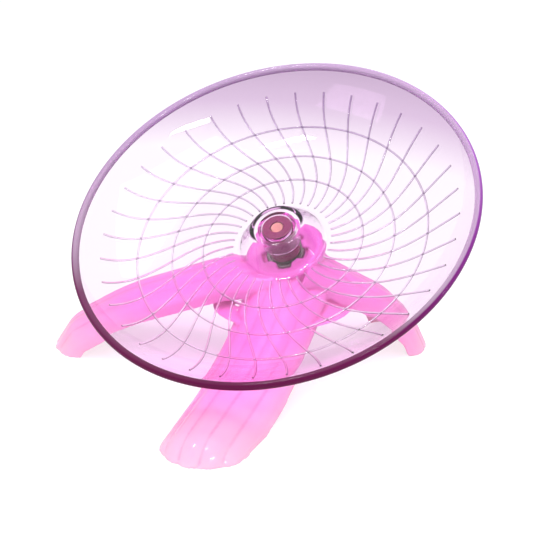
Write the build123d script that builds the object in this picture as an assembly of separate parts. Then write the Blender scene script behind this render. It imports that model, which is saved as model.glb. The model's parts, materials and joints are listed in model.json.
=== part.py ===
from build123d import *
import os
from math import asin, cos, degrees, hypot, pi, radians, sin

# Flying saucer hamster wheel: a clear ribbed running dish on a shielded ball bearing, leaning on a
# three-legged fluted stand. Millimetres, +Z up, origin on the floor under the middle of the outline.

# Where the dish leans
axis_tilt = 33.6
dish_centre_height = 74.0
dish_centre_forward = 7.8

# Running dish, heights measured along the axle from the plane of the rim
dish_radius = 90.0
dish_wall = 2.0
dish_depth = 19.7
bowl_radius = 56.0
bowl_turn = 40.0
lip_radius = 40.0
lip_turn = 14.0
bead_radius = 1.7
cone_top_radius = 11.4
cone_foot_radius = 19.5
cone_cap = 1.6
cone_edge_fillet = 1.4
cone_foot_fillet = 1.8
sleeve_wall = 1.5
sleeve_length = 8.6

# Raised ribs and rings on the running surface
rib_count = 36
rib_width = 0.9
rib_height = 0.55
rib_root = 0.6
rib_start_radius = 22.0
rib_end_radius = 79.5
rib_sweep = 26.0
rib_sweep_power = 0.8
rib_waist = 0.45
rib_end_angle = 3.8
ring_radii = (36.0, 50.0, 65.0)

# Push-on post that turns with the bearing
post_top_drop = 10.2
post_radius = 6.9
post_tip_radius = 6.5
post_tip_height = 1.8
post_boss_radius = 4.3
post_boss_height = 0.6
push_fit = 0.05

# Axle pin with its washer and retaining clip
pin_radius = 3.0
pin_fit = 0.02
pin_recess = 0.3
pin_tail = 1.4
pin_chamfer = 0.4
pin_groove_radius = 2.4
clip_thickness = 0.7
clip_radius = 5.4
clip_mouth = 4.4
clip_play = 0.05
washer_radius = 4.6
washer_thickness = 0.6

# Ball bearing, 6 x 17 x 6
bearing_radius = 8.5
bearing_width = 6.0
bearing_chamfer = 0.3
ball_count = 6
ball_radius = 1.75
ball_pitch_radius = 5.75
ball_clearance = 0.04
inner_land_radius = 4.75
outer_land_radius = 6.8
shield_seat_radius = 7.2
shield_inset = 0.3
shield_thickness = 0.25
shield_gap = 0.2
cage_thickness = 0.3
cage_ball_gap = 0.06
cage_inner_radius = 5.1
cage_outer_radius = 6.4
rivet_radius = 0.3
rivet_head_radius = 0.45
rivet_head_height = 0.12

# Stand head that holds the bearing
bearing_drop = 26.2
head_top_drop = 23.8
head_radius = 17.5
head_round = 3.0
head_foot_drop = 31.0
head_foot_flare = 1.5
seat_floor = 2.4
seat_hole_radius = 7.0
seat_fit = 0.02
funnel_top_radius = 14.4
funnel_foot_radius = 10.6
snap_height = 1.0
snap_count = 5
snap_lip_radius = 7.55
snap_slot_width = 6.0
snap_slot_radius = 10.4

# Neck and skirt: circles as (height above the floor, distance back, radius, backward lean)
stand_wall = 2.2
neck_radius = 16.5
neck_foot_drop = 34.0
waist_height = 36.0
waist_back = 9.0
waist_radius = 20.5
waist_tilt = 15.0
skirt_height = 27.0
skirt_back = 6.0
skirt_radius = 32.0

# Legs: a fluted arch, open below
leg_half_width = 18.3
leg_arch_radius = 21.7
leg_depth = 14.0
leg_flutes = 5
flute_crown = 0.6
leg_hub_right = 4.0
leg_hub_back = 8.0
toe_bend = 16.0
floor_extent = 400.0

# Each leg: the way it points, its crest as (distance out, height) and the bend radius at each corner
front_leg_azimuth = -88.1
front_leg_crest = ((5, 50), (40, 26.5), (64, 16.5), (106, 8), (115, -4))
front_leg_bends = (80, 90, toe_bend)
left_leg_azimuth = 192.7
left_leg_crest = ((6, 50), (31, 46.5), (78.4, 29), (104, 13), (115, -4))
left_leg_bends = (90, 110, toe_bend)
rear_leg_azimuth = 48.0
rear_leg_crest = ((3, 54.5), (45, 28), (58.8, 13.5), (67, -4))
rear_leg_bends = (50, toe_bend)

# Plane of the rim, with Z along the axle
axle_lean = radians(axis_tilt)
axle = Plane((0, -dish_centre_forward, dish_centre_height), (1, 0, 0), (0, -sin(axle_lean), cos(axle_lean)))

# Levels along the axle, worked out from the sizes above
post_top = -post_top_drop
cap_under = post_top + push_fit
cap_top = cap_under + cone_cap
bearing_top = -bearing_drop
bearing_foot = bearing_top - bearing_width
bearing_middle = bearing_top - bearing_width / 2
seat_foot = bearing_foot - seat_floor
washer_foot = bearing_foot - washer_thickness
clip_foot = washer_foot - clip_thickness - clip_play
pin_foot = clip_foot - clip_play - pin_tail


def cylinder(radius, low, high):
    return Pos(0, 0, low) * extrude(Circle(radius), high - low)


def tube(inner, outer, low, high):
    return cylinder(outer, low, high) - cylinder(inner, low - 1, high + 1)


def turned(*edges):
    """Solid turned about Z from a closed outline drawn as (radius, height)."""
    return revolve(Plane.XZ * make_face(list(edges)), Axis.Z)


def round_corner(face, place, radius):
    corner = face.vertices().sort_by(lambda vertex: (Vector(*place) - Vector(vertex.X, vertex.Y)).length)[0]
    return fillet(corner, radius)


def bowl_edges(start_radius, offset):
    """Running surface from start_radius to the rim, moved down by offset."""
    mid_turn = radians(bowl_turn)
    full_turn = radians(bowl_turn + lip_turn)
    half_wall = dish_wall / 2
    reach = (bowl_radius + half_wall) * sin(mid_turn) + (lip_radius + half_wall) * (sin(full_turn) - sin(mid_turn))
    floor_radius = dish_radius - bead_radius - reach
    level = -dish_depth - offset
    floor = Line((start_radius, level), (floor_radius, level))
    bowl = JernArc((floor_radius, level), (1, 0), bowl_radius + offset, bowl_turn)
    lip = JernArc(bowl @ 1, bowl % 1, lip_radius + offset, lip_turn)
    return floor, bowl, lip


def rib_spot(share):
    """Point on a rib seen from above, from its inner end at 0 to its outer end at 1."""
    turn = rib_sweep * (1 - cos(pi * share**rib_sweep_power)) / 2
    angle = radians(rib_end_angle - rib_sweep + turn)
    radius = rib_start_radius + (rib_end_radius - rib_start_radius) * share
    return radius * cos(angle), radius * sin(angle)


def rib_line():
    """One rib: its azimuth grows with radius and levels off at both ends."""
    inner = ThreePointArc(rib_spot(0), rib_spot(rib_waist / 2), rib_spot(rib_waist))
    outer = ThreePointArc(rib_spot(rib_waist), rib_spot((1 + rib_waist) / 2), rib_spot(1))
    return inner + outer


def make_ribs():
    rib = trace(rib_line(), rib_width)
    pattern = PolarLocations(0, rib_count) * rib
    rings = [Circle(radius + rib_width / 2) - Circle(radius - rib_width / 2) for radius in ring_radii]
    prism = extrude(Sketch() + pattern + rings, -dish_depth - rib_root)
    top = bowl_edges(cone_foot_radius, -rib_height)
    root = bowl_edges(cone_foot_radius, rib_root)
    layer = turned(*top, *root, Line(top[0] @ 0, root[0] @ 0), Line(top[2] @ 1, root[2] @ 1))
    return prism & layer


def make_dish():
    cone_rise = cap_top + dish_depth
    cone_run = cone_foot_radius - cone_top_radius
    cone_side = dish_wall * hypot(cone_rise, cone_run) / cone_rise
    cone_slope = cone_run / cone_rise
    inner_foot_radius = cone_foot_radius + dish_wall * cone_slope - cone_side
    inner_top_radius = cone_top_radius + (cap_top - cap_under) * cone_slope - cone_side
    sleeve_bore = post_radius + push_fit
    sleeve_radius = sleeve_bore + sleeve_wall
    sleeve_foot = cap_under - sleeve_length
    top = bowl_edges(cone_foot_radius, 0)
    under = bowl_edges(inner_foot_radius, dish_wall)
    upper_side = Polyline((0, cap_under), (0, cap_top), (cone_top_radius, cap_top), top[0] @ 0)
    lower_side = Polyline(
        (0, cap_under), (sleeve_bore, cap_under), (sleeve_bore, sleeve_foot), (sleeve_radius, sleeve_foot),
        (sleeve_radius, cap_under), (inner_top_radius, cap_under), under[0] @ 0)
    outline = make_face([*upper_side.edges(), *lower_side.edges(), *top, *under, Line(top[2] @ 1, under[2] @ 1)])
    outline = round_corner(outline, (cone_top_radius, cap_top), cone_edge_fillet)
    outline = round_corner(outline, (cone_foot_radius, -dish_depth), cone_foot_fillet)
    outline = round_corner(outline, (inner_foot_radius, -dish_depth - dish_wall), cone_foot_fillet)
    wall = revolve(Plane.XZ * outline, Axis.Z)
    rim = (top[2] @ 1 + under[2] @ 1) / 2
    bead = Pos(0, 0, rim.Y) * Torus(rim.X, bead_radius)
    return wall + bead + make_ribs()


def make_post():
    boss_top = bearing_top + post_boss_height
    post = cylinder(post_boss_radius, bearing_top, boss_top)
    post += cylinder(post_radius, boss_top, post_top - post_tip_height)
    post += cylinder(post_tip_radius, post_top - post_tip_height, post_top)
    return post - cylinder(pin_radius + pin_fit, bearing_top - 1, post_top + 1)


def make_pin():
    pin = cylinder(pin_radius, pin_foot, post_top - pin_recess)
    pin = chamfer(pin.edges().group_by(Axis.Z)[-1] + pin.edges().group_by(Axis.Z)[0], pin_chamfer)
    groove_top = clip_foot + clip_thickness + clip_play
    return pin - tube(pin_groove_radius, pin_radius + 1, clip_foot - clip_play, groove_top)


def make_clip():
    clip = tube(pin_groove_radius + clip_play, clip_radius, clip_foot, clip_foot + clip_thickness)
    mouth = Pos(0, -clip_radius / 2 - pin_groove_radius / 2, clip_foot + clip_thickness / 2)
    return clip - mouth * Box(clip_mouth, clip_radius, 2 * clip_thickness)


def make_inner_ring():
    ring = tube(pin_radius + pin_fit, inner_land_radius, bearing_foot, bearing_top)
    ring = chamfer(ring.edges().filter_by(GeomType.CIRCLE), bearing_chamfer)
    return ring - Pos(0, 0, bearing_middle) * Torus(ball_pitch_radius, ball_radius + ball_clearance)


def make_outer_ring():
    ring = tube(outer_land_radius, bearing_radius, bearing_foot, bearing_top)
    outer_edges = ring.edges().filter_by(GeomType.CIRCLE).filter_by(lambda edge: edge.radius > outer_land_radius + 1)
    ring = chamfer(outer_edges, bearing_chamfer)
    ring -= Pos(0, 0, bearing_middle) * Torus(ball_pitch_radius, ball_radius + ball_clearance)
    depth = shield_inset + shield_thickness
    ring -= cylinder(shield_seat_radius, bearing_top - depth, bearing_top + 1)
    return ring - cylinder(shield_seat_radius, bearing_foot - 1, bearing_foot + depth)


def make_shield():
    """Shield of the upper face; the lower one is its mirror."""
    top = bearing_top - shield_inset
    return tube(inner_land_radius + shield_gap, shield_seat_radius - seat_fit, top - shield_thickness, top)


def ball_places():
    return Pos(0, 0, bearing_middle) * PolarLocations(ball_pitch_radius, ball_count)


def rivet_places():
    half_step = 180 / ball_count
    return Pos(0, 0, bearing_middle) * PolarLocations(ball_pitch_radius, ball_count, half_step, 360)


def make_cage_half():
    """Upper half: flat lands between the balls, the strip bent over each ball as a pocket."""
    pocket = ball_radius + cage_ball_gap
    reach = pocket + cage_thickness
    length = 2 * (cage_outer_radius - cage_inner_radius)
    half = cylinder(cage_outer_radius, bearing_middle, bearing_middle + cage_thickness)
    half += [place * Rot(0, 90, 0) * Cylinder(reach, length) for place in ball_places()]
    half -= [place * Rot(0, 90, 0) * Cylinder(pocket, 2 * length) for place in ball_places()]
    half -= [place * Cylinder(rivet_radius, 4 * cage_thickness) for place in rivet_places()]
    return half & tube(cage_inner_radius, cage_outer_radius, bearing_middle, bearing_middle + reach)


def make_rivets():
    rivet = Cylinder(rivet_radius, 2 * cage_thickness)
    head = Cylinder(rivet_head_radius, rivet_head_height)
    lift = cage_thickness + rivet_head_height / 2
    rivet += [Pos(0, 0, lift) * head, Pos(0, 0, -lift) * head]
    return Compound([place * rivet for place in rivet_places()])


def mirrored_in_bearing(piece):
    return mirror(piece, Plane.XY.offset(bearing_middle))


def leg_section(wall, crown, depth):
    """Arch set in by wall, its centre under the crest at the origin; crown lifts the flutes."""
    centre = Vector(0, -leg_arch_radius)
    radius = leg_arch_radius - wall
    half_angle = degrees(asin(leg_half_width / leg_arch_radius))
    step = 2 * half_angle / leg_flutes
    creases = [90 - half_angle + step * i for i in range(leg_flutes + 1)]
    lobes = []
    for angle in creases[:-1]:
        ends = [centre + Vector(radius, 0).rotate(Axis.Z, turn) for turn in (angle, angle + step)]
        middle = centre + Vector(radius + crown, 0).rotate(Axis.Z, angle + step / 2)
        lobes.append(ThreePointArc(ends[0], middle, ends[1]))
    right = lobes[0] @ 0
    left = lobes[-1] @ 1
    sides = Polyline(left, (left.X, -depth), (right.X, -depth), right)
    return make_face([*lobes, *sides.edges()])


def make_leg(azimuth, crest, bends, wall, crown, depth):
    out = Vector(cos(radians(azimuth)), sin(radians(azimuth)), 0)
    upright = Plane((leg_hub_right, leg_hub_back, 0), x_dir=out, z_dir=(out.Y, -out.X, 0))
    path = upright * FilletPolyline(*crest, radius=bends)
    square = Plane(path @ 0, x_dir=(-out.Y, out.X, 0), z_dir=path % 0)
    return sweep(square * leg_section(wall, crown, depth), path=path)


def make_legs(wall, crown, depth):
    front = make_leg(front_leg_azimuth, front_leg_crest, front_leg_bends, wall, crown, depth)
    left = make_leg(left_leg_azimuth, left_leg_crest, left_leg_bends, wall, crown, depth)
    rear = make_leg(rear_leg_azimuth, rear_leg_crest, rear_leg_bends, wall, crown, depth)
    return front + left + rear


def make_skirt(wall):
    """Neck in line with the axle that flares into a level skirt, set in by wall."""
    lean = radians(waist_tilt)
    waist = Plane((0, waist_back, waist_height), (1, 0, 0), (0, -sin(lean), cos(lean)))
    skirt = Plane((0, skirt_back, skirt_height), (1, 0, 0), (0, 0, 1))
    rings = [
        axle.offset(-head_foot_drop) * Circle(neck_radius - wall),
        axle.offset(-neck_foot_drop) * Circle(neck_radius - wall),
        waist * Circle(waist_radius - wall),
        skirt * Circle(skirt_radius - wall),
    ]
    return loft(rings)


def make_head():
    outline = Polyline(
        (0, -neck_foot_drop), (neck_radius, -neck_foot_drop), (neck_radius, -head_foot_drop),
        (head_radius, -head_foot_drop + head_foot_flare), (head_radius, -head_top_drop), (0, -head_top_drop), close=True)
    face = round_corner(make_face(outline.edges()), (head_radius, -head_top_drop), head_round)
    return axle.location * revolve(Plane.XZ * face, Axis.Z)


def make_seat():
    """Funnel, bearing pocket and through hole, with the snap lips left standing."""
    lip_top = bearing_top + snap_height
    funnel = Polyline((0, lip_top), (funnel_foot_radius, lip_top), (funnel_top_radius, -head_top_drop),
                      (funnel_top_radius, 0), (0, 0), close=True)
    seat = turned(*funnel.edges())
    seat += cylinder(snap_lip_radius, bearing_top, lip_top + 1)
    seat += cylinder(bearing_radius + seat_fit, bearing_foot, bearing_top)
    seat += cylinder(seat_hole_radius, seat_foot - 1, bearing_foot + 1)
    slot = Pos(snap_slot_radius / 2, 0, bearing_top + snap_height / 2) * Box(snap_slot_radius, snap_slot_width, 3 * snap_height)
    seat += [place * slot for place in PolarLocations(0, snap_count)]
    return axle.location * seat


def make_stand():
    outer = make_legs(0, flute_crown, leg_depth) + make_skirt(0) + make_head()
    seat_block = axle.location * cylinder(head_radius, seat_foot, 0)
    inner = (make_legs(stand_wall, 0, leg_depth + 1) + make_skirt(stand_wall)) - seat_block
    stand = outer - inner - make_seat()
    return stand - Pos(0, 0, -floor_extent / 2) * Box(floor_extent, floor_extent, floor_extent)


os.makedirs("parts", exist_ok=True)
nodes = {
    "saucer_dish": make_dish(),
    "hub_spindle": make_post(),
    "axle_pin": make_pin(),
    "thrust_washer": tube(pin_radius + pin_fit, washer_radius, washer_foot, bearing_foot),
    "retaining_clip": make_clip(),
    "bearing_inner_ring": make_inner_ring(),
    "bearing_outer_ring": make_outer_ring(),
    "bearing_shield_top": make_shield(),
    "bearing_shield_bottom": mirrored_in_bearing(make_shield()),
    "bearing_cage_upper": make_cage_half(),
    "bearing_cage_lower": mirrored_in_bearing(make_cage_half()),
    "cage_rivets": make_rivets(),
}
for number, place in enumerate(ball_places(), 1):
    nodes[f"bearing_ball_{number}"] = place * Sphere(ball_radius)
placed = {name: axle.location * piece for name, piece in nodes.items()}
placed["stand"] = make_stand()
outline = Compound(list(placed.values())).bounding_box()
centring = Pos(-outline.center().X, -outline.center().Y, 0)
for name, piece in placed.items():
    export_step(centring * piece, f"parts/{name}.step")

# Joint places for the record, in millimetres
print("axle direction", axle.z_dir)
print("bearing middle", (centring * axle.location * Pos(0, 0, bearing_middle)).position)
for number, place in enumerate(ball_places(), 1):
    print("ball", number, (centring * axle.location * place).position)
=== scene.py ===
import json
from math import cos, pi, radians, sin, sqrt

import bpy
from mathutils import Matrix, Vector


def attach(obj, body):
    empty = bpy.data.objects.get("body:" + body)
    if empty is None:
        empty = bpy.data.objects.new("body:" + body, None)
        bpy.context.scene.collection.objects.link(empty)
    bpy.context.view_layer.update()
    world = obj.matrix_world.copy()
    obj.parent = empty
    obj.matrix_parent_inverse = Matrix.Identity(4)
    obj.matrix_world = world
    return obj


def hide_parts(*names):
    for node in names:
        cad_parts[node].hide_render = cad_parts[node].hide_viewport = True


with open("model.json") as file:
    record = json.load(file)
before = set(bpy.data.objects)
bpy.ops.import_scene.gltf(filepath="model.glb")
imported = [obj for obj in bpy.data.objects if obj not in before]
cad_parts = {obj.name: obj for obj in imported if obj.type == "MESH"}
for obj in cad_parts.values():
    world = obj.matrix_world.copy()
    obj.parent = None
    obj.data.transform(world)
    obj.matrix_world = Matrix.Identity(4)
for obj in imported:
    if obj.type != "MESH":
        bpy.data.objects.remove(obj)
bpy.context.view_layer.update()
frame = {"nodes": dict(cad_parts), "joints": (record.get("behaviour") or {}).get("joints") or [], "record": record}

bl_info = {
    "name": "Flying saucer hamster wheel",
    "version": (1, 0, 0),
    "blender": (4, 5, 0),
    "location": "View3D > Sidebar > Saucer wheel",
    "description": "Builds the looks of a clear running saucer on its pink three-legged stand",
    "category": "Add Mesh",
}

MM = 0.001

# The axle: the spin joint's place and direction, and the plane of the rim above the bearing
SPIN = next(joint for joint in frame["joints"] if joint["name"] == "dish_spin")
AXLE = Vector(SPIN["axis"]).normalized()
BEARING_MIDDLE_DROP = 29.2 * MM
RIM_CENTRE = Vector(SPIN["pos_m"]) + AXLE * BEARING_MIDDLE_DROP
AXLE_TURN = Vector((0, 0, 1)).rotation_difference(AXLE).to_matrix().to_4x4()
AXLE_FRAME = Matrix.Translation(RIM_CENTRE) @ AXLE_TURN

# Photograph's view: the camera stands back from the middle of the rim
CAMERA_LOOK = Vector((-0.38819, 0.85576, -0.34202))
CAMERA_OFFSET = Vector((235.29, -520.42, 181.85)) * MM
CAMERA_LENS = 93.3
CAMERA_FILM = 36.0
FLOOR_EXTENT = 6.0
LIGHT_BOUNCES = 20


def linear(code):
    """Linear colour of an sRGB hex value."""
    channels = [int(code[i:i + 2], 16) / 255 for i in (0, 2, 4)]
    return tuple(c / 12.92 if c <= 0.04045 else ((c + 0.055) / 1.055) ** 2.4 for c in channels) + (1.0,)


def add_node(tree, kind, settings=None, inputs=None, **links):
    """Adds a node, sets its attributes and input values, and links its named inputs."""
    node = tree.nodes.new(kind)
    for name, value in (settings or {}).items():
        setattr(node, name, value)
    for name, value in (inputs or {}).items():
        node.inputs[name].default_value = value
    for name, source in links.items():
        tree.links.new(source, node.inputs[name.replace("_", " ")])
    return node


def new_material(name):
    """Empty material and its node tree."""
    material = bpy.data.materials.new(name)
    material.use_nodes = True
    material.node_tree.nodes.clear()
    return material, material.node_tree


def polished_plastic_waves(tree, spacing, height):
    """Very slight unevenness of a moulded face, one wave every so many metres."""
    place = add_node(tree, "ShaderNodeTexCoord")
    waves = add_node(tree, "ShaderNodeTexNoise", {"noise_dimensions": "3D"},
                     {"Scale": 1 / spacing, "Detail": 1.5, "Roughness": 0.4}, Vector=place.outputs["Object"])
    return add_node(tree, "ShaderNodeBump", None, {"Strength": 0.5, "Distance": height},
                    Height=waves.outputs["Fac"])


def light_passing(tree, surface, colour):
    """Lets lamps shine through a clear or tinted surface instead of leaving a black shadow."""
    path = add_node(tree, "ShaderNodeLightPath")
    clear = add_node(tree, "ShaderNodeBsdfTransparent", None, {"Color": linear(colour)})
    mix = tree.nodes.new("ShaderNodeMixShader")
    tree.links.new(path.outputs["Is Shadow Ray"], mix.inputs["Fac"])
    tree.links.new(surface, mix.inputs[1])
    tree.links.new(clear.outputs["BSDF"], mix.inputs[2])
    return mix.outputs["Shader"]


def finish_material(tree, surface, volume=None):
    output = add_node(tree, "ShaderNodeOutputMaterial")
    tree.links.new(surface, output.inputs["Surface"])
    if volume:
        tree.links.new(volume, output.inputs["Volume"])


def shade_by_height(tree, stops):
    """Colour by height: stops are (millimetres, sRGB hex), the lowest and the highest first."""
    low, high = stops[0][0] * MM, stops[1][0] * MM
    place = add_node(tree, "ShaderNodeTexCoord")
    height = add_node(tree, "ShaderNodeSeparateXYZ", Vector=place.outputs["Object"])
    share = add_node(tree, "ShaderNodeMapRange", None, {"From Min": low, "From Max": high},
                     Value=height.outputs["Z"])
    ramp = add_node(tree, "ShaderNodeValToRGB", Fac=share.outputs["Result"])
    for i, (level, colour) in enumerate(stops):
        share_at = (level * MM - low) / (high - low)
        stop = ramp.color_ramp.elements[i] if i < 2 else ramp.color_ramp.elements.new(share_at)
        stop.position = share_at
        stop.color = linear(colour)
    return ramp.outputs["Color"]


def clear_styrene(name, tint, density, shadow, stops):
    """Clear moulded polystyrene: hard mirror gloss and a tint that deepens with thickness; its colour by height is
    painted light and shade.
    """
    material, tree = new_material(name)
    waves = polished_plastic_waves(tree, 14 * MM, 0.01 * MM)
    body = add_node(tree, "ShaderNodeBsdfPrincipled", None,
                    {"Roughness": 0.02, "IOR": 1.5, "Transmission Weight": 1.0},
                    Normal=waves.outputs["Normal"], Base_Color=shade_by_height(tree, stops))
    depth = add_node(tree, "ShaderNodeVolumeAbsorption", None, {"Color": linear(tint), "Density": density})
    finish_material(tree, light_passing(tree, body.outputs["BSDF"], shadow), depth.outputs["Volume"])
    return material


def distance_from_axle(tree):
    """Distance of the shaded place from the axle's line."""
    place = add_node(tree, "ShaderNodeTexCoord")
    offset = add_node(tree, "ShaderNodeVectorMath", {"operation": "SUBTRACT"})
    tree.links.new(place.outputs["Object"], offset.inputs[0])
    offset.inputs[1].default_value = RIM_CENTRE
    across = add_node(tree, "ShaderNodeVectorMath", {"operation": "CROSS_PRODUCT"})
    tree.links.new(offset.outputs["Vector"], across.inputs[0])
    across.inputs[1].default_value = AXLE
    reach = add_node(tree, "ShaderNodeVectorMath", {"operation": "LENGTH"})
    tree.links.new(across.outputs["Vector"], reach.inputs[0])
    return reach.outputs["Value"]


def rim_styrene(stops, clearness):
    """Rolled edge of the clear dish: painted shade, deep and less clear at its outermost line and all over its low
    side.
    """
    material, tree = new_material("rim_edge_styrene")
    # Painted shade: less clear and darker toward the outermost line and on the low side
    inward = add_node(tree, "ShaderNodeMapRange", None,
                      {"From Min": RIM_LINE_OUTER * MM, "From Max": RIM_LINE_INNER * MM},
                      Value=distance_from_axle(tree))
    clear = add_node(tree, "ShaderNodeMath", {"operation": "MULTIPLY"})
    tree.links.new(inward.outputs["Result"], clear.inputs[0])
    tree.links.new(shade_by_height(tree, clearness), clear.inputs[1])
    colour = add_node(tree, "ShaderNodeMix", {"data_type": "RGBA"})
    tree.links.new(clear.outputs["Value"], colour.inputs[0])
    tree.links.new(shade_by_height(tree, stops), colour.inputs[6])
    colour.inputs[7].default_value = linear("F0E0F2")
    body = add_node(tree, "ShaderNodeBsdfPrincipled", None,
                    {"Roughness": 0.08, "IOR": 1.5, "Specular IOR Level": 0.15},
                    Base_Color=colour.outputs[2], Transmission_Weight=clear.outputs["Value"])
    finish_material(tree, light_passing(tree, body.outputs["BSDF"], "E0B0D8"))
    return material


def magenta_styrene(colour):
    """Deep magenta moulded plastic, only a little light gets through."""
    material, tree = new_material("magenta_styrene")
    body = add_node(tree, "ShaderNodeBsdfPrincipled", None,
                    {"Base Color": linear(colour), "Roughness": 0.15, "IOR": 1.5, "Specular IOR Level": 0.3,
                     "Transmission Weight": 0.1})
    finish_material(tree, light_passing(tree, body.outputs["BSDF"], "D060A8"))
    return material


def pink_translucent_styrene(outside, glow, shade):
    """Translucent pink moulded plastic: glossy skin, painted shade in its creases, light through its wall."""
    material, tree = new_material("pink_translucent_styrene")
    waves = polished_plastic_waves(tree, 18 * MM, 0.04 * MM)
    face = add_node(tree, "ShaderNodeNewGeometry")
    # Painted shade in the creases, found by how hollow the surface is there
    crease = add_node(tree, "ShaderNodeMapRange", None, {"From Min": 0.478, "From Max": 0.499},
                      Value=face.outputs["Pointiness"])
    colour = add_node(tree, "ShaderNodeMix", {"data_type": "RGBA"})
    tree.links.new(crease.outputs["Result"], colour.inputs[0])
    colour.inputs[6].default_value = linear(shade)
    tree.links.new(shade_by_height(tree, outside), colour.inputs[7])
    skin = add_node(tree, "ShaderNodeBsdfPrincipled", None,
                    {"Roughness": 0.16, "IOR": 1.5, "Coat Weight": 0.4,
                     "Coat Roughness": 0.04, "Subsurface Weight": 0.2, "Subsurface Scale": 1.0 * MM,
                     "Subsurface Radius": (1.0, 0.5, 0.9)},
                    Normal=waves.outputs["Normal"], Base_Color=colour.outputs[2])
    through = add_node(tree, "ShaderNodeBsdfTranslucent", Color=shade_by_height(tree, glow))
    mix = tree.nodes.new("ShaderNodeMixShader")
    mix.inputs["Fac"].default_value = 0.4
    tree.links.new(skin.outputs["BSDF"], mix.inputs[1])
    tree.links.new(through.outputs["BSDF"], mix.inputs[2])
    finish_material(tree, mix.outputs["Shader"])
    return material


def steel(name, colour, roughness, spacing, height):
    """Worked steel: fine turning or pressing marks spread each highlight."""
    material, tree = new_material(name)
    place = add_node(tree, "ShaderNodeTexCoord")
    marks = add_node(tree, "ShaderNodeTexNoise", None, {"Scale": 1 / spacing, "Detail": 3.0},
                     Vector=place.outputs["Object"])
    bump = add_node(tree, "ShaderNodeBump", None, {"Strength": 0.4, "Distance": height},
                    Height=marks.outputs["Fac"])
    spread = add_node(tree, "ShaderNodeMapRange", None,
                      {"To Min": roughness * 0.8, "To Max": roughness * 1.3}, Value=marks.outputs["Fac"])
    body = add_node(tree, "ShaderNodeBsdfPrincipled", None, {"Base Color": linear(colour), "Metallic": 1.0},
                    Normal=bump.outputs["Normal"], Roughness=spread.outputs["Result"])
    finish_material(tree, body.outputs["BSDF"])
    return material


def deselect():
    bpy.ops.object.select_all(action="DESELECT")


def traced_line(name, spots):
    """A line extruded from spot to spot, left in edit mode."""
    deselect()
    bpy.ops.mesh.primitive_plane_add(size=MM)
    piece = bpy.context.object
    piece.name = name
    bpy.ops.object.mode_set(mode="EDIT")
    bpy.ops.mesh.select_all(action="SELECT")
    bpy.ops.mesh.merge(type="CENTER")
    bpy.ops.transform.translate(value=spots[0])
    for start, end in zip(spots, spots[1:]):
        bpy.ops.mesh.extrude_region_move(TRANSFORM_OT_translate={"value": end - start})
    return piece


def turned_piece(name, outline, steps, smooth=40):
    """Spins a closed profile of (radius, height) in millimetres about the leaning axle."""
    spots = [Vector((radius, 0, height)) * MM for radius, height in outline]
    piece = traced_line(name, spots + spots[:1])
    bpy.ops.mesh.select_all(action="SELECT")
    bpy.ops.mesh.remove_doubles(threshold=0.01 * MM)
    bpy.ops.mesh.select_all(action="SELECT")
    bpy.ops.mesh.spin(steps=steps, angle=2 * pi, center=(0, 0, 0), axis=(0, 0, 1))
    bpy.ops.mesh.select_all(action="SELECT")
    bpy.ops.mesh.remove_doubles(threshold=0.002 * MM)
    bpy.ops.mesh.normals_make_consistent(inside=False)
    bpy.ops.object.mode_set(mode="OBJECT")
    settle(piece, AXLE_FRAME)
    bpy.ops.object.shade_smooth_by_angle(angle=radians(smooth))
    return piece


def settle(piece, place):
    """Moves a piece by a matrix and puts the move into its mesh, so its object stays at the origin."""
    deselect()
    piece.select_set(True)
    bpy.context.view_layer.objects.active = piece
    piece.matrix_world = place @ piece.matrix_world
    bpy.ops.object.transform_apply(location=True, rotation=True, scale=True)


def give(piece, material, body, node=None):
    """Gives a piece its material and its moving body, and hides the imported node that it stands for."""
    piece.data.materials.clear()
    piece.data.materials.append(material)
    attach(piece, body)
    if node:
        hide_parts(node)


def arc_points(centre, radius, start, end, count):
    """Points on an arc, angles in degrees from the profile's outward direction."""
    angles = [radians(start + (end - start) * i / count) for i in range(count + 1)]
    return [(centre[0] + radius * cos(a), centre[1] + radius * sin(a)) for a in angles]


def round_outline(centre, radius, sides):
    """Corners of a closed round section, the last one short of the first."""
    return arc_points(centre, radius, 0, 360 - 360 / sides, sides - 1)


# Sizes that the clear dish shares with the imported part, in millimetres along and out from the axle
DISH_WALL = 2.0
DISH_FLOOR = -19.7
FLOOR_RADIUS = 44.85
BOWL_RADIUS = 56.0
BOWL_TURN = 40.0
LIP_RADIUS = 40.0
LIP_TURN = 14.0
BEAD_RADIUS = 1.7
CONE_TOP_RADIUS = 11.4
CONE_FOOT_RADIUS = 19.5
CAP_TOP = -8.55
CAP_UNDER = -10.15
INNER_TOP_RADIUS = 10.09
INNER_FOOT_RADIUS = 18.48
SLEEVE_BORE = 6.95
SLEEVE_RADIUS = 8.45
SLEEVE_FOOT = -18.75
BOWL_CENTRE = (FLOOR_RADIUS, DISH_FLOOR + BOWL_RADIUS)
LIP_CENTRE = (FLOOR_RADIUS + (BOWL_RADIUS - LIP_RADIUS) * sin(radians(BOWL_TURN)),
              DISH_FLOOR + BOWL_RADIUS - (BOWL_RADIUS - LIP_RADIUS) * cos(radians(BOWL_TURN)))
LIP_MIDDLE = LIP_RADIUS + DISH_WALL / 2
LIP_END = radians(BOWL_TURN + LIP_TURN - 90)
FLOOR_MIDDLE_RADIUS = 34.0
CAP_EYE = 0.02
BEAD_CENTRE = (LIP_CENTRE[0] + LIP_MIDDLE * cos(LIP_END), LIP_CENTRE[1] + LIP_MIDDLE * sin(LIP_END))

DISH_SHADOW = "F3DCF2"
# The rim's outermost line, where painted shade makes it dark and less clear
RIM_LINE_OUTER = 89.2
RIM_LINE_INNER = 88.6

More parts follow.
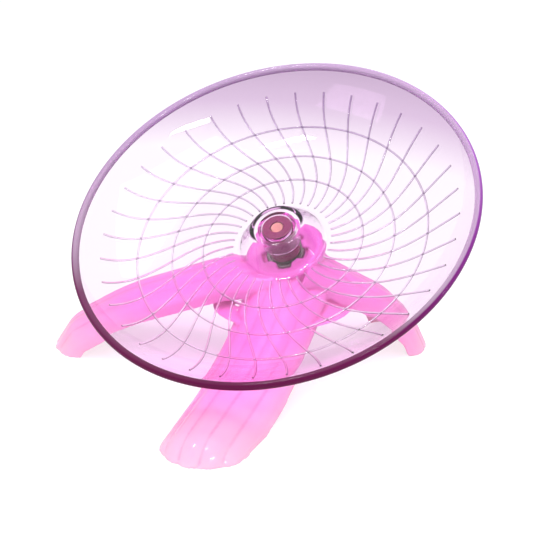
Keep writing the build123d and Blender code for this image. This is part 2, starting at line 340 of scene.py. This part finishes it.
# Colours by height above the floor, painted light and shade on the clear dish and its rim, partly on the stand:
# (millimetres, sRGB hex), the lowest and the highest first
# Painted shade on the clear dish: pinker at the low near lip, greyer and darker toward the high far side
DISH_PAINTED_SHADE = ((20, "F6D8F4"), (124, "C4AEC8"), (34, "FBF1FA"), (88, "FAF7FB"), (106, "D8C4DC"))
# Painted light on the ribs: white painted highlight low down, greyer painted shade toward the high far side
RIB_PAINTED_HIGHLIGHT_AND_SHADE = ((20, "FFFFFF"), (124, "B8A6C4"), (85, "DDD4E4"))
# Painted shade on the rim: deep magenta on its low near side, lighter toward the high far side
RIM_PAINTED_SHADE = ((22, "4C0030"), (124, "A070B0"), (46, "560640"), (74, "702478"), (100, "8C4CA0"))

# Grey level of the rim's clear share, white where it is all clear; painted shade, least clear on the low side
RIM_CLEARNESS_PAINTED_SHADE = ((22, "101010"), (124, "C8C8C8"), (44, "383838"), (62, "B8B8B8"))
# Stand colours by height, for its skin and for light through its wall: pale at the feet, deep toward the collar;
# partly the plastic's thickness, partly painted light and shade
STAND_SKIN_COLOUR_AND_SHADE = ((0, "F8C6DE"), (64, "E070CC"), (12, "F6B4DA"), (24, "F098D8"), (50, "E888D4"))
STAND_GLOW_COLOUR_AND_SHADE = ((0, "F8C0DC"), (64, "E060C8"), (12, "F4A0D0"), (24, "EE8CD2"), (50, "E67CD0"))

# Spiral ribs and rings of the running surface
RIB_COUNT = 36
RIB_RADIUS = 0.45
RIB_LIFT = 0.1
RIB_START = 22.0
RIB_END = 79.5
RIB_SWEEP = 26.0
RIB_SWEEP_POWER = 0.8
RIB_END_ANGLE = 3.8
RIB_STEPS = 26
RING_RADII = (36.0, 50.0, 65.0)

# How finely round outlines are drawn
ARC_STEPS = 10
BEAD_SIDES = 24
RING_SIDES = 10
POST_STEPS = 96
STAND_VOXEL = 0.66 * MM
STAND_SOFTENING = 3

# Post, in millimetres along and out from the axle
POST_BORE = 3.02
POST_FOOT = -26.2
POST_TOP = -10.2
# The post's side is given as (radius, height, fillet)
POST_SIDE = ((4.3, POST_FOOT, 0), (4.3, -25.6, 0), (6.9, -25.6, 0.4), (6.9, -12.0, 0.15),
             (6.5, -12.0, 0.1), (6.5, POST_TOP, 0.35))


def surface_height(radius):
    """Height of the running surface at a distance from the axle."""
    if radius < BOWL_CENTRE[0]:
        return DISH_FLOOR
    if radius < BOWL_CENTRE[0] + BOWL_RADIUS * sin(radians(BOWL_TURN)):
        return BOWL_CENTRE[1] - sqrt(BOWL_RADIUS ** 2 - (radius - BOWL_CENTRE[0]) ** 2)
    return LIP_CENTRE[1] - sqrt(LIP_RADIUS ** 2 - (radius - LIP_CENTRE[0]) ** 2)


def rounded(corners, steps=5):
    """Replaces each corner given as (radius, height, fillet) by a short arc."""
    points = []
    for i, (x, y, fillet) in enumerate(corners):
        corner = Vector((x, y))
        before = Vector(corners[i - 1][:2]) - corner
        after = Vector(corners[(i + 1) % len(corners)][:2]) - corner
        if not fillet:
            points.append((x, y))
            continue
        start = corner + before.normalized() * fillet
        end = corner + after.normalized() * fillet
        for k in range(steps + 1):
            t = k / steps
            spot = start * (1 - t) ** 2 + corner * 2 * t * (1 - t) + end * t ** 2
            points.append((spot.x, spot.y))
    return points


def running_side(offset, steps):
    """Bowl and lip of one face of the dish, from the floor's edge to the rim."""
    bowl = arc_points(BOWL_CENTRE, BOWL_RADIUS + offset, -90, BOWL_TURN - 90, steps)
    lip = arc_points(LIP_CENTRE, LIP_RADIUS + offset, BOWL_TURN - 90, BOWL_TURN + LIP_TURN - 90, steps)
    return bowl + lip[1:]


def dish_outline(steps):
    """Whole section of the clear dish: over the cap, down the cone, out to the rim and back below."""
    cone = rounded([
        (SLEEVE_BORE, CAP_UNDER, 0), (CAP_EYE, CAP_UNDER, 0), (CAP_EYE, CAP_TOP, 0),
        (CONE_TOP_RADIUS, CAP_TOP, 1.6), (CONE_FOOT_RADIUS, DISH_FLOOR, 2.0), (FLOOR_RADIUS, DISH_FLOOR, 0)])
    # The first corner only gives the cap its direction
    upper = cone[1:-1] + [(FLOOR_MIDDLE_RADIUS, DISH_FLOOR)] + running_side(0, steps)
    lower = running_side(DISH_WALL, steps)[::-1] + [(FLOOR_MIDDLE_RADIUS, DISH_FLOOR - DISH_WALL)]
    under = rounded([
        (FLOOR_RADIUS, DISH_FLOOR - DISH_WALL, 0), (INNER_FOOT_RADIUS, DISH_FLOOR - DISH_WALL, 1.6),
        (INNER_TOP_RADIUS, CAP_UNDER, 0.4), (SLEEVE_RADIUS, CAP_UNDER, 0), (SLEEVE_RADIUS, SLEEVE_FOOT, 0.3),
        (SLEEVE_BORE, SLEEVE_FOOT, 0.3), (SLEEVE_BORE, CAP_UNDER, 0)])
    return upper + lower + under[1:]


def rib_point(radius, share):
    turn = RIB_SWEEP * (1 - cos(pi * share ** RIB_SWEEP_POWER)) / 2
    angle = radians(RIB_END_ANGLE - RIB_SWEEP + turn)
    return Vector((radius * cos(angle), radius * sin(angle), surface_height(radius) + RIB_LIFT)) * MM


def make_rib():
    """One spiral rib: a path extruded along the running surface, made a round cord and cut to a mesh."""
    shares = [i / RIB_STEPS for i in range(RIB_STEPS + 1)]
    spots = [rib_point(RIB_START + (RIB_END - RIB_START) * share, share) for share in shares]
    rib = traced_line("dish_ribs", spots)
    bpy.ops.object.mode_set(mode="OBJECT")
    bpy.ops.object.convert(target="CURVE")
    rib.data.bevel_depth = RIB_RADIUS * MM
    rib.data.bevel_resolution = 2
    rib.data.use_fill_caps = True
    bpy.ops.object.convert(target="MESH")
    return bpy.context.object


class SaucerWheelSettings(bpy.types.PropertyGroup):
    dish_tint: bpy.props.StringProperty(
        name="Dish tint", description="Colour that the clear dish takes where it is thick", default="E9A6E6")
    dish_depth: bpy.props.FloatProperty(
        name="Dish tint depth", description="How fast the dish's tint deepens", default=85.0, min=0.0)
    post_tint: bpy.props.StringProperty(
        name="Post tint", description="Colour of the magenta post", default="700048")
    # Painted shade laid into the creases between the stand's flutes
    stand_crease_shade: bpy.props.StringProperty(
        name="Stand creases", description="Colour that gathers between the stand's flutes", default="D060A4")
    turn_steps: bpy.props.IntProperty(
        name="Steps round the dish", description="Faces round the dish", default=192, min=48)


class SAUCER_OT_dish(bpy.types.Operator):
    """Clear running dish: turned bowl, cone and sleeve, with its rim bead and spiral ribs"""
    bl_idname = "saucer.dish"
    bl_label = "Running dish"

    def execute(self, context):
        wanted = context.scene.saucer_wheel
        clear = clear_styrene("clear_lilac_styrene", wanted.dish_tint, wanted.dish_depth, DISH_SHADOW,
                              DISH_PAINTED_SHADE)
        bowl = turned_piece("dish_bowl", dish_outline(ARC_STEPS), wanted.turn_steps)
        give(bowl, clear, "dish", "saucer_dish")

        rim = rim_styrene(RIM_PAINTED_SHADE, RIM_CLEARNESS_PAINTED_SHADE)
        bead_outline = round_outline(BEAD_CENTRE, BEAD_RADIUS, BEAD_SIDES)
        bead = turned_piece("dish_rim_bead", bead_outline, wanted.turn_steps, smooth=80)
        give(bead, rim, "dish")

        rib = make_rib()
        copies = [rib]
        for i in range(1, RIB_COUNT):
            copy = rib.copy()
            copy.data = rib.data.copy()
            context.collection.objects.link(copy)
            copy.data.transform(Matrix.Rotation(2 * pi * i / RIB_COUNT, 4, "Z"))
            copies.append(copy)
        deselect()
        for copy in copies:
            copy.select_set(True)
        context.view_layer.objects.active = rib
        bpy.ops.object.join()
        settle(rib, AXLE_FRAME)
        bpy.ops.object.shade_smooth()
        ribs_clear = clear_styrene("clear_rib_styrene", wanted.dish_tint, wanted.dish_depth, DISH_SHADOW,
                                   RIB_PAINTED_HIGHLIGHT_AND_SHADE)
        give(rib, ribs_clear, "dish")
        for radius in RING_RADII:
            centre = (radius, surface_height(radius) + RIB_LIFT)
            outline = round_outline(centre, RIB_RADIUS, RING_SIDES)
            ring = turned_piece(f"dish_ring_{radius:.0f}", outline, wanted.turn_steps // 2, smooth=80)
            give(ring, ribs_clear, "dish")
        return {"FINISHED"}


class SAUCER_OT_post(bpy.types.Operator):
    """Stepped magenta post that the dish pushes onto"""
    bl_idname = "saucer.post"
    bl_label = "Post"

    def execute(self, context):
        wanted = context.scene.saucer_wheel
        magenta = magenta_styrene(wanted.post_tint)
        outline = rounded([(POST_BORE, POST_TOP, 0), (POST_BORE, POST_FOOT, 0), *POST_SIDE])
        post = turned_piece("post", outline, POST_STEPS)
        give(post, magenta, "hub", "hub_spindle")
        return {"FINISHED"}


class SAUCER_OT_bearing(bpy.types.Operator):
    """Steel of the bearing, its cage, balls, pin, washer and clip"""
    bl_idname = "saucer.bearing"
    bl_label = "Bearing and pin"

    def execute(self, context):
        finishes = {
            "bearing_steel": steel("ground_bearing_steel", "8A8480", 0.22, 0.3 * MM, 0.004 * MM),
            "shield_steel": steel("pressed_steel_sheet", "6E6864", 0.32, 0.5 * MM, 0.006 * MM),
            "cage_steel": steel("pressed_steel_strip", "9A938C", 0.35, 0.5 * MM, 0.006 * MM),
            "ball_steel": steel("polished_ball_steel", "D0D0D4", 0.06, 0.8 * MM, 0.001 * MM),
            "pin_steel": steel("turned_pin_steel", "CC9484", 0.3, 0.2 * MM, 0.01 * MM),
        }
        for part in frame["record"]["subparts"]:
            finish = finishes.get(part["material_slot"])
            if finish:
                for slot in frame["nodes"][part["node"]].material_slots:
                    slot.material = finish
        return {"FINISHED"}


class SAUCER_OT_stand(bpy.types.Operator):
    """One-piece moulded stand, its inside corners softened as the mould leaves them"""
    bl_idname = "saucer.stand"
    bl_label = "Stand"

    def execute(self, context):
        wanted = context.scene.saucer_wheel
        deselect()
        node = frame["nodes"]["stand"]
        stand = node.copy()
        stand.data = node.data.copy()
        stand.name = "moulded_stand"
        context.collection.objects.link(stand)
        stand.parent = None
        stand.matrix_world = Matrix.Identity(4)
        stand.select_set(True)
        context.view_layer.objects.active = stand
        bpy.ops.object.mode_set(mode="EDIT")
        bpy.ops.mesh.select_all(action="SELECT")
        bpy.ops.mesh.remove_doubles(threshold=0.001 * MM)
        bpy.ops.object.mode_set(mode="OBJECT")
        remesh = stand.modifiers.new("even_faces", "REMESH")
        remesh.mode = "VOXEL"
        remesh.voxel_size = STAND_VOXEL
        bpy.ops.object.modifier_apply(modifier=remesh.name)
        soften = stand.modifiers.new("soft_corners", "SMOOTH")
        soften.factor = 0.5
        soften.iterations = STAND_SOFTENING
        bpy.ops.object.modifier_apply(modifier=soften.name)
        bpy.ops.object.shade_smooth()
        pink = pink_translucent_styrene(STAND_SKIN_COLOUR_AND_SHADE, STAND_GLOW_COLOUR_AND_SHADE, wanted.stand_crease_shade)
        give(stand, pink, "stand", "stand")
        return {"FINISHED"}


class SAUCER_OT_stage(bpy.types.Operator):
    """Pale floor, white surroundings, soft studio lamps and the photograph's camera"""
    bl_idname = "saucer.stage"
    bl_label = "Stage"

    def execute(self, context):
        scene = context.scene
        deselect()
        bpy.ops.mesh.primitive_plane_add(size=FLOOR_EXTENT)
        floor = context.object
        floor.name = "floor"
        floor.data.materials.append(pale_floor())
        world = bpy.data.worlds.new("white_studio")
        scene.world = world
        world.use_nodes = True
        world.node_tree.nodes.clear()
        white_world(world.node_tree)
        for name, place, size, power, mirrored in LAMPS:
            add_lamp(name, Vector(place), size, power, mirrored)
        camera_data = bpy.data.cameras.new("photo_camera")
        camera = bpy.data.objects.new("photo_camera", camera_data)
        scene.collection.objects.link(camera)
        camera_data.lens = CAMERA_LENS
        camera_data.sensor_width = CAMERA_FILM
        camera_data.clip_start = 0.05
        camera.location = RIM_CENTRE + CAMERA_OFFSET
        camera.rotation_euler = CAMERA_LOOK.to_track_quat("-Z", "Y").to_euler()
        scene.camera = camera
        scene.view_settings.view_transform = "Standard"
        scene.cycles.max_bounces = LIGHT_BOUNCES
        scene.cycles.transmission_bounces = LIGHT_BOUNCES
        return {"FINISHED"}


# Soft lamps: name, place in metres, (width, height), watts, and whether glossy faces mirror them
LAMPS = (
    ("window_softbox", (-0.25, -0.27, 0.90), (0.05, 0.12), 1.4, True),
    ("strip_softbox", (0.42, -0.52, 0.68), (0.26, 0.05), 2.0, True),
    ("side_strip", (0.89, -0.02, 0.31), (0.03, 0.14), 0.5, True),
    ("overhead_softbox", (0.15, -0.1, 1.1), (0.8, 0.8), 9.0, False),
    ("front_softbox", (-0.6, -0.9, 0.6), (0.5, 0.5), 3.0, False),
)


def add_lamp(name, place, size, power, mirrored):
    data = bpy.data.lights.new(name, "AREA")
    data.shape = "RECTANGLE"
    data.size = size[0]
    data.size_y = size[1]
    data.energy = power
    lamp = bpy.data.objects.new(name, data)
    bpy.context.scene.collection.objects.link(lamp)
    lamp.location = place
    lamp.visible_glossy = mirrored
    lamp.rotation_euler = (RIM_CENTRE - place).to_track_quat("-Z", "Y").to_euler()


def seen_by_eye(tree):
    """One where a ray comes from the camera, or from it by way of gloss or clear plastic."""
    path = add_node(tree, "ShaderNodeLightPath")
    either = add_node(tree, "ShaderNodeMath", {"operation": "MAXIMUM"})
    tree.links.new(path.outputs["Is Camera Ray"], either.inputs[0])
    tree.links.new(path.outputs["Is Glossy Ray"], either.inputs[1])
    every = add_node(tree, "ShaderNodeMath", {"operation": "MAXIMUM"})
    tree.links.new(either.outputs["Value"], every.inputs[0])
    tree.links.new(path.outputs["Is Transmission Ray"], every.inputs[1])
    return every.outputs["Value"]


def white_world(tree):
    seen = seen_by_eye(tree)
    strength = add_node(tree, "ShaderNodeMapRange", None, {"To Min": 0.75, "To Max": 1.0}, Value=seen)
    light = add_node(tree, "ShaderNodeBackground", None, {"Color": (1, 1, 1, 1)},
                     Strength=strength.outputs["Result"])
    output = add_node(tree, "ShaderNodeOutputWorld")
    tree.links.new(light.outputs["Background"], output.inputs["Surface"])


def pale_floor():
    """Matt white paper sweep: it shows white to the eye and keeps a faint shadow of the wheel."""
    material, tree = new_material("white_paper_sweep")
    place = add_node(tree, "ShaderNodeTexCoord")
    grain = add_node(tree, "ShaderNodeTexNoise", None, {"Scale": 400.0}, Vector=place.outputs["Object"])
    bump = add_node(tree, "ShaderNodeBump", None, {"Strength": 0.05, "Distance": 0.1 * MM},
                    Height=grain.outputs["Fac"])
    paper = add_node(tree, "ShaderNodeBsdfDiffuse", None, {"Color": linear("F4F4F4")},
                     Normal=bump.outputs["Normal"])
    glow = add_node(tree, "ShaderNodeEmission", None, {"Color": (1, 1, 1, 1), "Strength": 1.1})
    share = add_node(tree, "ShaderNodeMapRange", None, {"To Min": 0.0, "To Max": 0.68},
                     Value=seen_by_eye(tree))
    mix = tree.nodes.new("ShaderNodeMixShader")
    tree.links.new(share.outputs["Result"], mix.inputs["Fac"])
    tree.links.new(paper.outputs["BSDF"], mix.inputs[1])
    tree.links.new(glow.outputs["Emission"], mix.inputs[2])
    finish_material(tree, mix.outputs["Shader"])
    return material


class SAUCER_PT_panel(bpy.types.Panel):
    """Settings of the wheel and a button for each of its pieces"""
    bl_idname = "SAUCER_PT_panel"
    bl_label = "Saucer wheel"
    bl_space_type = "VIEW_3D"
    bl_region_type = "UI"
    bl_category = "Saucer wheel"

    def draw(self, context):
        for name in SaucerWheelSettings.__annotations__:
            self.layout.prop(context.scene.saucer_wheel, name)
        for operator in OPERATORS:
            self.layout.operator(operator.bl_idname)


OPERATORS = (SAUCER_OT_stage, SAUCER_OT_dish, SAUCER_OT_post, SAUCER_OT_bearing, SAUCER_OT_stand)
CLASSES = (SaucerWheelSettings, *OPERATORS, SAUCER_PT_panel)


def register():
    for item in CLASSES:
        bpy.utils.register_class(item)
    bpy.types.Scene.saucer_wheel = bpy.props.PointerProperty(type=SaucerWheelSettings)


def unregister():
    del bpy.types.Scene.saucer_wheel
    for item in reversed(CLASSES):
        bpy.utils.unregister_class(item)


def main():
    register()
    bpy.ops.saucer.stage()
    bpy.ops.saucer.dish()
    bpy.ops.saucer.post()
    bpy.ops.saucer.bearing()
    bpy.ops.saucer.stand()


if __name__ == "__main__":
    main()
